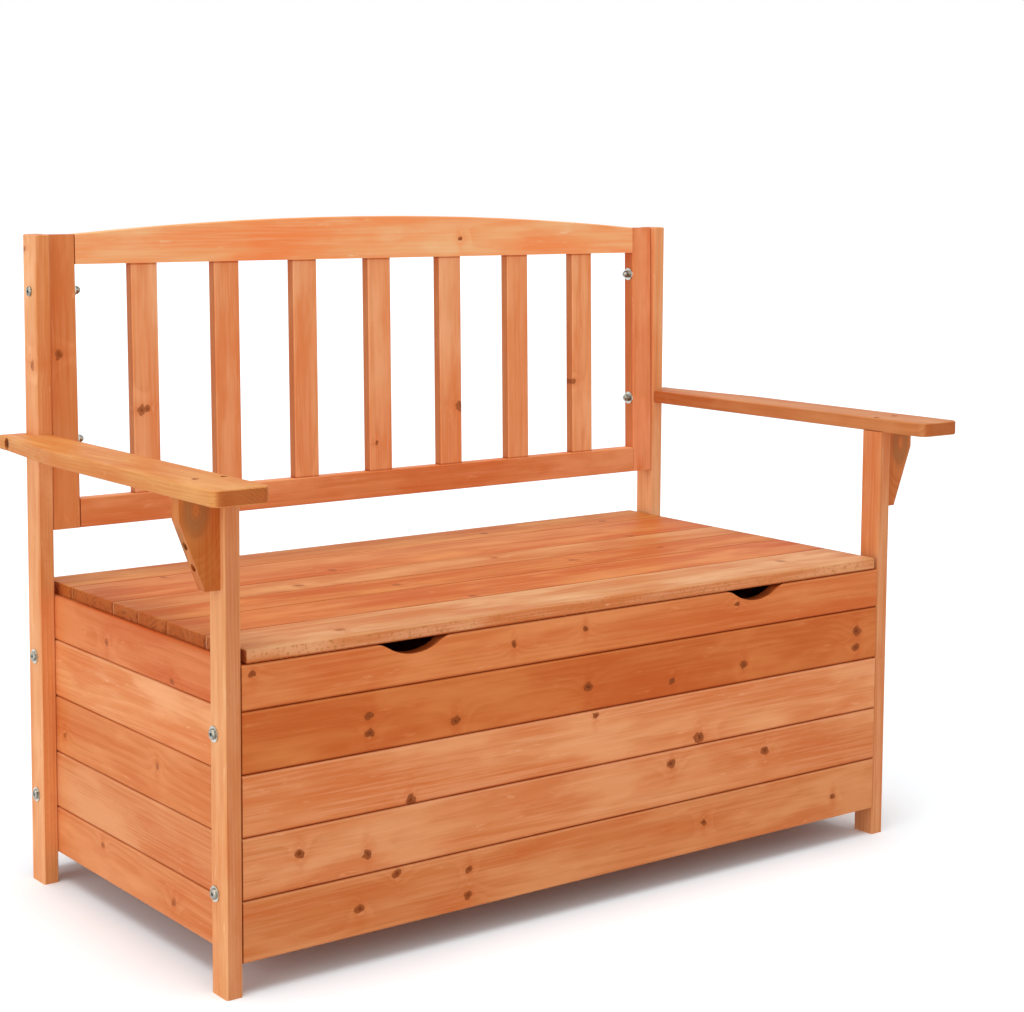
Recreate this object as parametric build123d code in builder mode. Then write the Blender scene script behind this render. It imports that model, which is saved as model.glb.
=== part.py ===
from build123d import *
import math
import os

os.makedirs("parts", exist_ok=True)

# Garden storage bench. X runs along the seat, Y from front to back, Z up from the floor.

# Legs
leg_span = 1028.0
leg_width = 20.0
front_leg_depth = 33.0
rear_leg_depth = 35.0
rear_leg_height = 820.0
rear_leg_inset = 29.5
leg_ease = 1.5

# Armrests and the brackets under them
arm_underside = 554.0
arm_thickness = 18.0
arm_overhang = 73.0
arm_inset = 17.0
arm_reach = 52.0
arm_tail_reach = 35.0
arm_tail_flat = 20.0
arm_taper = 160.0
arm_corner = 12.0
arm_ease = 1.2
bracket_reach = 49.0
bracket_foot = 18.0
bracket_lip = 24.0
bracket_height = 103.0
bracket_thickness = 16.0
bracket_screw_drops = (53.0, 77.0)

# Tongue and groove boards
board_thickness = 15.0
board_seam = 0.8
board_ease = 1.7
groove_width = 5.0
groove_depth = 4.6
tongue_play = 0.2

# Box
box_depth = 528.5
front_heights = (69.5, 70.0, 70.0, 70.0, 51.3)
side_heights = (59.5, 71.5, 71.5, 71.5, 55.7)
front_end_gap = 1.0
wall_gap = 0.3
back_board_count = 4
rail_height = 30.0
rail_depth = 18.0
corner_batten = 28.0
rear_batten_setback = 3.0
batten_drop = 3.0
centre_batten_width = 30.0
centre_batten_depth = 14.0
centre_batten_drop = 22.0
bearer_width = 20.0
bearer_height = 24.0
bearer_lift = 3.0
bearer_count = 4
bearer_end_gap = 21.0
floor_thickness = 12.0
floor_count = 6
floor_seam = 1.0

# Finger cut-outs in the top front board
grip_spacing = 535.0
grip_width = 108.0
grip_shoulder = 0.32
grip_depth = 16.0

# Lid
lid_underside = 369.0
lid_clearance = 0.3
lid_rest_gap = 0.8
lid_front_gap = 1.2
lid_side_gap = 7.0
lid_widths = (91.0, 90.0, 72.0, 65.0, 113.0, 74.8)
lid_ease = 0.8
lid_nose = 2.0
lid_open = 51.0
lid_batten_width = 34.0
lid_batten_thickness = 18.0
lid_batten_end_inset = 82.0
lid_batten_middle = 252.0
lid_batten_front = 34.0
lid_batten_rear = 12.0

# Butt hinges
hinge_end_inset = 126.0
hinge_width = 48.0
leaf_thickness = 1.5
leaf_width = 21.0
knuckle_radius = 3.2
knuckle_gap = 0.3
hinge_pin_radius = 1.5
hinge_pin_play = 0.06
lid_set_forward = 1.2
hinge_screw_offset = 15.0
hinge_screw_drop = 13.0

# Folding lid stays
stay_board = 4
stay_board_inset = 25.0
stay_drop = 12.0
stay_lead = 85.0
stay_wall_drop = 24.0
stay_width = 12.0
stay_thickness = 2.0
stay_plate = 1.5
stay_stud_radius = 2.5
stay_stud_play = 0.06
stay_head_radius = 4.5
stay_head_height = 1.6
stay_gap = 0.8
stay_wall_standoff = 1.3
stay_plate_length = 38.0
stay_plate_height = 16.0
stay_tab_width = 20.0
stay_flange = 14.0
stay_screw_offset = 12.5

# Backrest
back_bottom = 451.5
back_recline = 1.2
stile_width = 36.0
stile_gap = 0.8
back_thickness = 20.0
back_ease = 1.2
top_rail_end_height = 37.5
top_rail_rise = 20.0
bottom_rail_height = 36.5
rail_end_gap = 0.6
slat_count = 7
slat_pitch = 120.0
slat_width = 37.0
slat_thickness = 15.5
slat_tenon = 8.0
slat_play = 0.15
dowel_radius = 4.0
dowel_length = 36.0
dowel_inset = 9.0
dowel_play = 0.1
back_bolt_drop = 70.0

# Fasteners
bolt_radius = 3.0
bolt_play = 0.25
bolt_head_radius = 6.2
bolt_head_height = 2.8
bolt_socket_radius = 2.4
bolt_socket_depth = 1.8
leg_bolt_heights = (113.5, 291.0)
front_bolt_setback = 24.0
washer_radius = 9.0
washer_thickness = 1.5
nut_across = 10.0
nut_height = 5.0
nut_dome_height = 4.0
nut_engagement = 6.5
thread_play = 0.1
bolt_bore_radius = 7.6
bolt_bore_depth = 5.5
screw_radius = 2.0
screw_head_radius = 3.8
screw_head_height = 2.2
screw_bore_radius = 4.3
screw_bore_depth = 4.0
bracket_bore_depth = 9.0
screw_bite = 30.0
small_screw_radius = 1.6
small_head_radius = 3.0
small_head_height = 1.0
small_screw_bite = 11.0
screw_play = 0.15

# Places worked out from the sizes above
leg_half = leg_span / 2
inner_half = leg_half - leg_width
panel_half = inner_half - board_thickness
front_y = arm_overhang - (arm_overhang + box_depth) / 2
back_y = front_y + box_depth
front_inside_y = front_y + board_thickness
back_inside_y = back_y - board_thickness
rear_leg_back_y = back_y - rear_leg_inset
rear_leg_y = rear_leg_back_y - rear_leg_depth
arm_top = arm_underside + arm_thickness
lid_top = lid_underside + board_thickness
lid_half = inner_half - lid_side_gap
panel_top = lid_underside - lid_rest_gap
front_top = lid_underside - lid_front_gap
front_base = front_top - sum(front_heights)
side_base = panel_top - sum(side_heights)
rail_low = panel_top - rail_height
rail_front_y = back_y - rail_depth
hinge_offset = knuckle_radius + lid_clearance
hinge_y = rail_front_y - hinge_offset
hinge_z = lid_underside - hinge_offset
lid_rear_y = hinge_y - lid_set_forward
batten_half = panel_half - corner_batten
batten_top = lid_underside - batten_drop
rear_batten_y = rear_leg_y + rear_batten_setback
floor_low = side_base + bearer_lift + bearer_height
floor_top = floor_low + floor_thickness
bracket_y = front_y + front_leg_depth / 2 - bracket_thickness / 2
arm_screw_y = front_y + front_leg_depth / 2
leg_screw_x = leg_half - leg_width / 2
bracket_screw_x = leg_half + bracket_reach / 2
stile_outer = inner_half - stile_gap
stile_inner = stile_outer - stile_width
rail_half = stile_inner - rail_end_gap
stile_length = rear_leg_height - back_bottom
top_rail_low = stile_length - top_rail_end_height
screw_hole = screw_radius + screw_play
small_screw_hole = small_screw_radius + screw_play
bolt_hole = bolt_radius + bolt_play
tongue_depth = groove_depth + board_seam - 2 * tongue_play
groove_near = (board_thickness - groove_width) / 2
groove_far = groove_near + groove_width

# The backrest leans back about its lower front edge
lean = math.radians(back_recline)
back_plane = Plane(
    origin=(0, rear_leg_y, back_bottom),
    x_dir=(1, 0, 0),
    z_dir=(0, -math.cos(lean), math.sin(lean)),
)


def stile_place(height):
    # Mid-thickness of a stile at a height above the floor
    along = (height - back_bottom) / math.cos(lean)
    return back_plane.from_local_coords((0, along, -back_thickness / 2))


arm_bolt_place = stile_place(arm_underside + arm_thickness / 2)
back_bolt_place = stile_place(rear_leg_height - back_bolt_drop)
front_bolt_y = front_y + front_bolt_setback
rear_bolt_y = rear_leg_y + rear_leg_depth / 2
leg_bolt_places = [(y, z) for y in (front_bolt_y, rear_bolt_y) for z in leg_bolt_heights]
rear_bolt_places = [(rear_bolt_y, z) for z in leg_bolt_heights]
rear_bolt_places += [(place.Y, place.Z) for place in (arm_bolt_place, back_bolt_place)]
front_bolt_places = [(front_bolt_y, z) for z in leg_bolt_heights]

# Lid boards: widths ripped to fill the lid, and where each one starts and ends from front to back
lid_fill = (lid_rear_y - front_y) / sum(lid_widths)
lid_edges = [front_y]
for width in lid_widths:
    lid_edges.append(lid_edges[-1] + width * lid_fill)
lid_spans = list(zip(lid_edges[:-1], lid_edges[1:]))
lid_screw_rows = [(near + far) / 2 for near, far in lid_spans]
hinge_screw_row = hinge_y - hinge_screw_drop
hinge_end = lid_half - hinge_end_inset
hinge_places = (-hinge_end, 0, hinge_end)
batten_end = lid_half - lid_batten_end_inset
lid_batten_places = (-batten_end, -lid_batten_middle / 2, lid_batten_middle / 2, batten_end)
bearer_end = batten_half - bearer_end_gap - bearer_width / 2
bearer_pitch = 2 * bearer_end / (bearer_count - 1)
bearer_places = [-bearer_end + number * bearer_pitch for number in range(bearer_count)]

# Stay pivots: the links hang folded under the closed lid and are straight when it is fully open
lid_pin_y = lid_edges[stay_board - 1] + stay_board_inset
lid_pin_z = lid_underside - stay_drop
wall_pin_y = lid_pin_y - stay_lead
wall_pin_z = panel_top - stay_wall_drop
open_turn = math.radians(lid_open)
pin_run = lid_pin_y - hinge_y
pin_rise = lid_pin_z - hinge_z
open_pin_y = hinge_y + pin_run * math.cos(open_turn) + pin_rise * math.sin(open_turn)
open_pin_z = hinge_z - pin_run * math.sin(open_turn) + pin_rise * math.cos(open_turn)
link_length = math.dist((wall_pin_y, wall_pin_z), (open_pin_y, open_pin_z)) / 2
closed_span = math.dist((wall_pin_y, wall_pin_z), (lid_pin_y, lid_pin_z))
span_angle = math.atan2(lid_pin_z - wall_pin_z, lid_pin_y - wall_pin_y)
lower_angle = span_angle - math.acos(closed_span / 2 / link_length)
mid_pin_y = wall_pin_y + link_length * math.cos(lower_angle)
mid_pin_z = wall_pin_z + link_length * math.sin(lower_angle)
upper_angle = math.atan2(lid_pin_z - mid_pin_z, lid_pin_y - mid_pin_y)
lower_out = panel_half - stay_plate - stay_wall_standoff
lower_in = lower_out - stay_thickness
upper_out = lower_in - stay_gap
upper_in = upper_out - stay_thickness
tab_out = upper_in - stay_wall_standoff - lid_clearance
tab_in = tab_out - stay_plate
flange_in = tab_out - stay_flange
flange_screw_x = (flange_in + tab_in) / 2


def save(piece, label):
    piece.part.label = label
    export_step(piece.part, f"parts/{label}.step")


def across(side, x, y, z):
    # A plane on the left or right side, facing outwards
    return Plane(origin=(side * x, y, z), x_dir=(0, side, 0), z_dir=(side, 0, 0))


def facing_in(side, x, y, z):
    # A plane on the left or right side, facing the middle of the bench
    return Plane(origin=(side * x, y, z), x_dir=(0, -side, 0), z_dir=(-side, 0, 0))


def board_profile(low, high, grooved, tongued, low_ease=board_ease, high_ease=board_ease):
    # Width and depth points of one board, depth counted from its face
    near = low + board_seam / 2 if grooved else low
    far = high - board_seam / 2 if tongued else high
    points = [(near + low_ease, 0), (near, low_ease)]
    if grooved:
        points += [(near, groove_near), (near + groove_depth, groove_near)]
        points += [(near + groove_depth, groove_far), (near, groove_far)]
    points += [(near, board_thickness), (far, board_thickness)]
    if tongued:
        points += [(far, groove_far - tongue_play), (far + tongue_depth, groove_far - tongue_play)]
        points += [(far + tongue_depth, groove_near + tongue_play), (far, groove_near + tongue_play)]
    points += [(far, high_ease), (far - high_ease, 0)]
    return points


# Legs
for side, hand in ((-1, "left"), (1, "right")):
    x_middle = side * (leg_half - leg_width / 2)

    with BuildPart() as front_leg:
        with Locations((x_middle, front_y + front_leg_depth / 2, 0)):
            Box(leg_width, front_leg_depth, arm_underside, align=(Align.CENTER, Align.CENTER, Align.MIN))
        chamfer(front_leg.edges().filter_by(Axis.Z), leg_ease)
        with Locations(*[across(side, leg_half, y, z) for y, z in front_bolt_places]):
            Hole(bolt_hole)
        with Locations((side * leg_screw_x, arm_screw_y, arm_underside)):
            Hole(screw_hole, depth=screw_bite + screw_play)
        for drop in bracket_screw_drops:
            with Locations(across(side, leg_half, arm_screw_y, arm_underside - drop)):
                Hole(screw_hole, depth=leg_width - leg_ease)
    save(front_leg, f"leg_front_{hand}")

    with BuildPart() as rear_leg:
        with Locations((x_middle, rear_leg_y + rear_leg_depth / 2, 0)):
            Box(leg_width, rear_leg_depth, rear_leg_height, align=(Align.CENTER, Align.CENTER, Align.MIN))
        chamfer(rear_leg.edges().filter_by(Axis.Z), leg_ease)
        chamfer(rear_leg.faces().sort_by(Axis.Z)[-1].edges(), leg_ease)
        with Locations(*[across(side, leg_half, y, z) for y, z in rear_bolt_places]):
            Hole(bolt_hole)
    save(rear_leg, f"leg_rear_{hand}")

# Front boards, bottom to top
front_half = inner_half - front_end_gap
grip_turn = grip_shoulder * grip_width / 2
board_low = front_base
for number, height in enumerate(front_heights, start=1):
    is_top = number == len(front_heights)
    profile = board_profile(board_low, board_low + height, number > 1, not is_top)
    with BuildPart() as front_board:
        with BuildSketch(Plane.YZ.offset(-front_half)):
            with BuildLine():
                Polyline(*[(front_y + depth, width) for width, depth in profile], close=True)
            make_face()
        extrude(amount=2 * front_half)
        if is_top:
            for grip_x in (-grip_spacing / 2, grip_spacing / 2):
                with BuildSketch(Plane.XZ.offset(-front_y)):
                    with BuildLine():
                        left_top = (grip_x - grip_width / 2, front_top)
                        left_turn = (left_top[0] + grip_turn, front_top - grip_shoulder * grip_depth)
                        right_top = (grip_x + grip_width / 2, front_top)
                        right_turn = (right_top[0] - grip_turn, left_turn[1])
                        TangentArc(left_top, left_turn, tangent=(1, 0))
                        ThreePointArc(left_turn, (grip_x, front_top - grip_depth), right_turn)
                        TangentArc(right_top, right_turn, tangent=(-1, 0))
                        Polyline(
                            right_top,
                            (grip_x + grip_width / 2, front_top + grip_depth),
                            (grip_x - grip_width / 2, front_top + grip_depth),
                            left_top,
                        )
                    make_face()
                extrude(amount=2 * board_thickness, both=True, mode=Mode.SUBTRACT)
    save(front_board, f"front_board_{number}")
    board_low += height

# Side boards, bottom to top
side_front_y = front_inside_y + wall_gap
for side, hand in ((-1, "left"), (1, "right")):
    board_low = side_base
    for number, height in enumerate(side_heights, start=1):
        profile = board_profile(board_low, board_low + height, number > 1, number < len(side_heights))
        with BuildPart() as side_board:
            with BuildSketch(Plane.XZ.offset(-back_y)):
                with BuildLine():
                    Polyline(*[(side * (inner_half - depth), width) for width, depth in profile], close=True)
                make_face()
            extrude(amount=back_y - side_front_y)
            with Locations(*[across(side, inner_half, y, z) for y, z in leg_bolt_places]):
                Hole(bolt_hole)
            if number == len(side_heights):
                for step in (-stay_screw_offset, stay_screw_offset):
                    with Locations(facing_in(side, panel_half, wall_pin_y + step, wall_pin_z)):
                        Hole(small_screw_hole, depth=small_screw_bite + screw_play)
        save(side_board, f"side_{hand}_board_{number}")
        board_low += height

# Back boards below the hinge rail
back_pitch = (rail_low - wall_gap - side_base) / back_board_count
back_half = panel_half - wall_gap
with BuildPart() as back_boards:
    for number in range(back_board_count):
        board_low = side_base + number * back_pitch
        is_top = number == back_board_count - 1
        profile = board_profile(board_low, board_low + back_pitch, number > 0, not is_top)
        with BuildSketch(Plane.YZ.offset(-back_half)):
            with BuildLine():
                Polyline(*[(back_y - depth, width) for width, depth in profile], close=True)
            make_face()
        extrude(amount=2 * back_half)
save(back_boards, "back_boards")

# Hinge rail, notched at both ends for the rear corner battens
with BuildPart() as hinge_rail:
    with Locations((0, back_y, rail_low)):
        Box(2 * back_half, rail_depth, rail_height, align=(Align.CENTER, Align.MAX, Align.MIN))
    if rail_depth > board_thickness:
        for side in (-1, 1):
            with Locations((side * (batten_half - wall_gap), back_inside_y, rail_low)):
                Box(
                    2 * corner_batten,
                    2 * (rail_depth - board_thickness),
                    rail_height,
                    align=(Align.MIN if side > 0 else Align.MAX, Align.MAX, Align.MIN),
                    mode=Mode.SUBTRACT,
                )
    chamfer(hinge_rail.edges().filter_by(Axis.X).sort_by(Axis.Y)[-2:], board_ease)
    for hinge_x in hinge_places:
        for step in (-hinge_screw_offset, hinge_screw_offset):
            place = (hinge_x + step, rail_front_y, hinge_z - hinge_screw_drop)
            with Locations(Plane(origin=place, z_dir=(0, -1, 0))):
                Hole(small_screw_hole, depth=small_screw_bite + screw_play)
save(hinge_rail, "hinge_rail")

# Corner battens that the leg bolts pass through
with BuildPart() as corner_battens:
    for side in (-1, 1):
        with Locations((side * (panel_half - corner_batten / 2), front_inside_y, side_base)):
            Box(
                corner_batten,
                corner_batten,
                batten_top - side_base,
                align=(Align.CENTER, Align.MIN, Align.MIN),
            )
        with Locations((side * (panel_half - corner_batten / 2), rear_batten_y, side_base)):
            Box(
                corner_batten,
                back_inside_y - rear_batten_y,
                batten_top - side_base,
                align=(Align.CENTER, Align.MIN, Align.MIN),
            )
    for side in (-1, 1):
        with Locations(*[across(side, panel_half, y, z) for y, z in leg_bolt_places]):
            Hole(bolt_hole, depth=corner_batten)
save(corner_battens, "corner_battens")

# Centre battens that tie the front and the back boards together
front_batten_height = front_top - centre_batten_drop - floor_top
with BuildPart() as centre_battens:
    with Locations((0, front_inside_y, floor_top)):
        Box(
            centre_batten_width,
            centre_batten_depth,
            front_batten_height,
            align=(Align.CENTER, Align.MIN, Align.MIN),
        )
    with Locations((0, back_inside_y, floor_top)):
        Box(
            centre_batten_width,
            centre_batten_depth,
            rail_low - wall_gap - floor_top,
            align=(Align.CENTER, Align.MAX, Align.MIN),
        )
save(centre_battens, "centre_battens")

# Floor boards on their bearers
floor_span = back_inside_y - front_inside_y
with BuildPart() as floor_bearers:
    with Locations(*[(x, front_inside_y, floor_low) for x in bearer_places]):
        Box(bearer_width, floor_span, bearer_height, align=(Align.CENTER, Align.MIN, Align.MAX))
save(floor_bearers, "floor_bearers")

floor_pitch = floor_span / floor_count
with BuildPart() as floor_boards:
    with Locations((0, (front_inside_y + back_inside_y) / 2, floor_low)):
        with GridLocations(0, floor_pitch, 1, floor_count):
            Box(
                2 * back_half,
                floor_pitch - floor_seam,
                floor_thickness,
                align=(Align.CENTER, Align.CENTER, Align.MIN),
            )
    for side in (-1, 1):
        with Locations((side * (batten_half - wall_gap), front_inside_y, floor_low)):
            Box(
                corner_batten * 2,
                corner_batten + wall_gap,
                floor_thickness,
                align=(Align.MIN if side > 0 else Align.MAX, Align.MIN, Align.MIN),
                mode=Mode.SUBTRACT,
            )
        with Locations((side * (batten_half - wall_gap), back_inside_y, floor_low)):
            Box(
                corner_batten * 2,
                back_inside_y - rear_batten_y + wall_gap,
                floor_thickness,
                align=(Align.MIN if side > 0 else Align.MAX, Align.MAX, Align.MIN),
                mode=Mode.SUBTRACT,
            )
save(floor_boards, "floor_boards")

# Lid boards, front to back
lid_screw_places = [(x, y) for x in lid_batten_places for y in lid_screw_rows]
hinge_steps = (-hinge_screw_offset, hinge_screw_offset)
stay_steps = (-stay_screw_offset, stay_screw_offset)
lid_leaf_screws = [(x + step, hinge_screw_row) for x in hinge_places for step in hinge_steps]
lid_stay_screws = [(side * flange_screw_x, lid_pin_y + step) for side in (-1, 1) for step in stay_steps]
for number, (near, far) in enumerate(lid_spans, start=1):
    is_first = number == 1
    is_last = number == len(lid_spans)
    nose = lid_nose if is_first else lid_ease
    profile = board_profile(near, far, not is_first, not is_last, nose, lid_ease)
    holes = [(x, y) for x, y in lid_screw_places + lid_leaf_screws + lid_stay_screws if near < y < far]
    with BuildPart() as lid_board:
        with BuildSketch(Plane.YZ.offset(-lid_half)):
            with BuildLine():
                Polyline(*[(width, lid_top - depth) for width, depth in profile], close=True)
            make_face()
        extrude(amount=2 * lid_half)
        chamfer(lid_board.edges().filter_by(Axis.Y).group_by(Axis.Z)[-1], lid_ease)
        with Locations(*[Plane(origin=(x, y, lid_underside), z_dir=(0, 0, -1)) for x, y in holes]):
            Hole(small_screw_hole, depth=small_screw_bite + screw_play)
    save(lid_board, f"lid_board_{number}")

# Cross battens under the lid
lid_batten_low = lid_underside - lid_batten_thickness
lid_batten_start = front_y + lid_batten_front
lid_batten_end = hinge_y - lid_batten_rear
with BuildPart() as lid_battens:
    with Locations(*[(x, lid_batten_start, lid_underside) for x in lid_batten_places]):
        Box(
            lid_batten_width,
            lid_batten_end - lid_batten_start,
            lid_batten_thickness,
            align=(Align.CENTER, Align.MIN, Align.MAX),
        )
    chamfer(lid_battens.edges().filter_by(Axis.Y).group_by(Axis.Z)[0], board_ease)
    with Locations(*[Plane(origin=(x, y, lid_batten_low), z_dir=(0, 0, -1)) for x, y in lid_screw_places]):
        CounterBoreHole(small_screw_hole, small_head_radius + screw_play, 2 * small_head_height)
save(lid_battens, "lid_battens")

# Butt hinges: two outer knuckles on the rail leaf, the middle one on the lid leaf
knuckle_length = hinge_width / 3
hinge_hole = hinge_pin_radius + hinge_pin_play
leaf_relief = knuckle_radius + knuckle_gap
leaf_cut = knuckle_length + 2 * knuckle_gap
with BuildPart() as box_leaves:
    for hinge_x in hinge_places:
        with Locations((hinge_x, rail_front_y, hinge_z)):
            Box(hinge_width, leaf_thickness, leaf_width, align=(Align.CENTER, Align.MAX, Align.MAX))
        with Locations((hinge_x, hinge_y, hinge_z)):
            Cylinder(knuckle_radius, hinge_width, rotation=(0, 90, 0))
            Cylinder(leaf_relief, leaf_cut, rotation=(0, 90, 0), mode=Mode.SUBTRACT)
            Box(leaf_cut, 4 * leaf_relief, 2 * leaf_relief, mode=Mode.SUBTRACT)
            Cylinder(hinge_hole, hinge_width, rotation=(0, 90, 0), mode=Mode.SUBTRACT)
        for step in hinge_steps:
            place = (hinge_x + step, rail_front_y, hinge_z - hinge_screw_drop)
            with Locations(Plane(origin=place, z_dir=(0, -1, 0))):
                Hole(small_screw_hole)
save(box_leaves, "hinge_leaves_box")

with BuildPart() as lid_leaves:
    for hinge_x in hinge_places:
        with Locations((hinge_x, hinge_y, lid_underside)):
            Box(hinge_width, leaf_width, leaf_thickness, align=(Align.CENTER, Align.MAX, Align.MAX))
        with Locations((hinge_x, hinge_y, hinge_z)):
            Cylinder(knuckle_radius, knuckle_length, rotation=(0, 90, 0))
            Cylinder(hinge_hole, knuckle_length, rotation=(0, 90, 0), mode=Mode.SUBTRACT)
        for step in (-knuckle_length, knuckle_length):
            with Locations((hinge_x + step, hinge_y, hinge_z)):
                Box(leaf_cut, 2 * leaf_relief, 4 * leaf_relief, mode=Mode.SUBTRACT)
        for step in (-hinge_screw_offset, hinge_screw_offset):
            with Locations((hinge_x + step, hinge_screw_row, lid_underside)):
                Hole(small_screw_hole)
save(lid_leaves, "hinge_leaves_lid")

with BuildPart() as hinge_pins:
    with Locations(*[(x, hinge_y, hinge_z) for x in hinge_places]):
        Cylinder(hinge_pin_radius, hinge_width, rotation=(0, 90, 0))
save(hinge_pins, "hinge_pins")

# Stay brackets: a plate with a pivot stud on each side wall, and a flanged tab under the lid
stud_end = lower_in - stay_head_height - lid_clearance
with BuildPart() as wall_brackets:
    for side in (-1, 1):
        with BuildSketch(facing_in(side, panel_half, wall_pin_y, wall_pin_z)):
            SlotOverall(stay_plate_length, stay_plate_height)
        extrude(amount=stay_plate)
        with BuildSketch(facing_in(side, panel_half, wall_pin_y, wall_pin_z)):
            Circle(stay_stud_radius)
        extrude(amount=panel_half - stud_end)
        with BuildSketch(facing_in(side, stud_end, wall_pin_y, wall_pin_z)):
            Circle(stay_head_radius)
        extrude(amount=-stay_head_height)
        for step in (-stay_screw_offset, stay_screw_offset):
            with Locations(facing_in(side, panel_half, wall_pin_y + step, wall_pin_z)):
                Hole(small_screw_hole)
save(wall_brackets, "stay_wall_brackets")

lid_stud_end = upper_out + stay_head_height + lid_clearance
with BuildPart() as lid_brackets:
    for side in (-1, 1):
        with Locations((side * (flange_in + tab_out) / 2, lid_pin_y, lid_underside)):
            Box(
                tab_out - flange_in,
                stay_plate_length,
                stay_plate,
                align=(Align.CENTER, Align.CENTER, Align.MAX),
            )
        with BuildSketch(across(side, tab_in, lid_pin_y, lid_pin_z)):
            Circle(stay_tab_width / 2)
            Rectangle(stay_tab_width, stay_drop, align=(Align.CENTER, Align.MIN))
        extrude(amount=stay_plate)
        with BuildSketch(across(side, tab_in, lid_pin_y, lid_pin_z)):
            Circle(stay_stud_radius)
        extrude(amount=lid_stud_end - tab_in)
        with BuildSketch(across(side, lid_stud_end, lid_pin_y, lid_pin_z)):
            Circle(stay_head_radius)
        extrude(amount=-stay_head_height)
        with BuildSketch(across(side, tab_out, lid_pin_y, lid_pin_z)):
            Circle(stay_head_radius)
        extrude(amount=stay_wall_standoff)
        with Locations(*[(side * flange_screw_x, lid_pin_y + step, lid_underside) for step in stay_steps]):
            Hole(small_screw_hole)
save(lid_brackets, "stay_lid_brackets")

# Stay links, folded: each pair meets at the middle rivet
stud_hole = stay_stud_radius + stay_stud_play
for side, hand in ((-1, "left"), (1, "right")):
    with BuildPart() as lower_link:
        with BuildSketch(Plane.YZ.offset(side * lower_in)):
            with Locations(((wall_pin_y + mid_pin_y) / 2, (wall_pin_z + mid_pin_z) / 2)):
                SlotCenterToCenter(link_length, stay_width, rotation=math.degrees(lower_angle))
            with Locations((wall_pin_y, wall_pin_z)):
                Circle(stud_hole, mode=Mode.SUBTRACT)
        extrude(amount=side * stay_thickness)
        with BuildSketch(Plane.YZ.offset(side * lower_out)):
            with Locations((mid_pin_y, mid_pin_z)):
                Circle(stay_head_radius)
        extrude(amount=side * stay_wall_standoff / 2)
    save(lower_link, f"stay_lower_{hand}")

    with BuildPart() as upper_link:
        with BuildSketch(Plane.YZ.offset(side * upper_in)):
            with Locations(((lid_pin_y + mid_pin_y) / 2, (lid_pin_z + mid_pin_z) / 2)):
                SlotCenterToCenter(link_length, stay_width, rotation=math.degrees(upper_angle))
            with Locations((lid_pin_y, lid_pin_z)):
                Circle(stud_hole, mode=Mode.SUBTRACT)
        extrude(amount=side * stay_thickness)
        with BuildSketch(Plane.YZ.offset(side * upper_in)):
            with Locations((mid_pin_y, mid_pin_z)):
                Circle(stay_head_radius)
        extrude(amount=-side * stay_head_height)
        rivet_edge = upper_link.edges().filter_by(GeomType.CIRCLE).sort_by(Axis.X)
        chamfer(rivet_edge[0] if side > 0 else rivet_edge[-1], stay_head_height / 2)
    save(upper_link, f"stay_upper_{hand}")

# Backrest stiles
dowel_seat = dowel_length / 2 + dowel_play
dowel_depth = -back_thickness / 2
bottom_dowels = (dowel_inset, bottom_rail_height - dowel_inset)
top_dowels = (top_rail_low + dowel_inset, stile_length - dowel_inset)
for side, hand in ((-1, "left"), (1, "right")):
    with BuildPart() as stile:
        with BuildSketch(back_plane):
            with Locations((side * (stile_inner + stile_width / 2), stile_length / 2)):
                Rectangle(stile_width, stile_length)
        extrude(amount=-back_thickness)
        chamfer(stile.edges().filter_by(Axis((0, 0, 0), back_plane.y_dir)), back_ease)
        for place in (arm_bolt_place, back_bolt_place):
            with Locations(across(side, stile_outer, place.Y, place.Z)):
                Hole(bolt_hole)
        for along in bottom_dowels + top_dowels:
            seat = back_plane.from_local_coords((side * stile_inner, along, dowel_depth))
            with Locations(Plane(origin=seat, x_dir=(0, 1, 0), z_dir=(-side, 0, 0))):
                Hole(dowel_radius + dowel_play, depth=dowel_seat)
    save(stile, f"back_stile_{hand}")


def dowel_holes(rows):
    # Holes in both ends of a rail
    with BuildPart() as holes:
        for side in (-1, 1):
            for along in rows:
                seat = back_plane.from_local_coords((side * rail_half, along, dowel_depth))
                with Locations(Plane(origin=seat, x_dir=(0, 1, 0), z_dir=(side, 0, 0))):
                    Cylinder(dowel_radius + dowel_play, 2 * dowel_seat)
    return holes.part


def slat_mortises(height):
    # Pockets for the slat ends, centred on the thickness of a rail
    face_inset = (back_thickness - slat_thickness) / 2 - slat_play
    with BuildPart() as pockets:
        with BuildSketch(back_plane.offset(-face_inset)):
            with Locations((0, height)):
                with GridLocations(slat_pitch, 0, slat_count, 1):
                    Rectangle(slat_width + 2 * slat_play, 2 * (slat_tenon + slat_play))
        extrude(amount=-(slat_thickness + 2 * slat_play))
    return pockets.part


top_mortises = slat_mortises(top_rail_low)
top_dowel_holes = dowel_holes(top_dowels)
bottom_mortises = slat_mortises(bottom_rail_height)
bottom_dowel_holes = dowel_holes(bottom_dowels)

# Arched top rail and straight bottom rail
with BuildPart() as top_rail:
    with BuildSketch(back_plane):
        with BuildLine():
            Polyline(
                (-rail_half, stile_length),
                (-rail_half, top_rail_low),
                (rail_half, top_rail_low),
                (rail_half, stile_length),
            )
            ThreePointArc(
                (rail_half, stile_length),
                (0, stile_length + top_rail_rise),
                (-rail_half, stile_length),
            )
        make_face()
    extrude(amount=-back_thickness)
    chamfer(top_rail.edges().filter_by(GeomType.CIRCLE), back_ease)
    add(top_mortises, mode=Mode.SUBTRACT)
    add(top_dowel_holes, mode=Mode.SUBTRACT)
save(top_rail, "back_top_rail")

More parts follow.
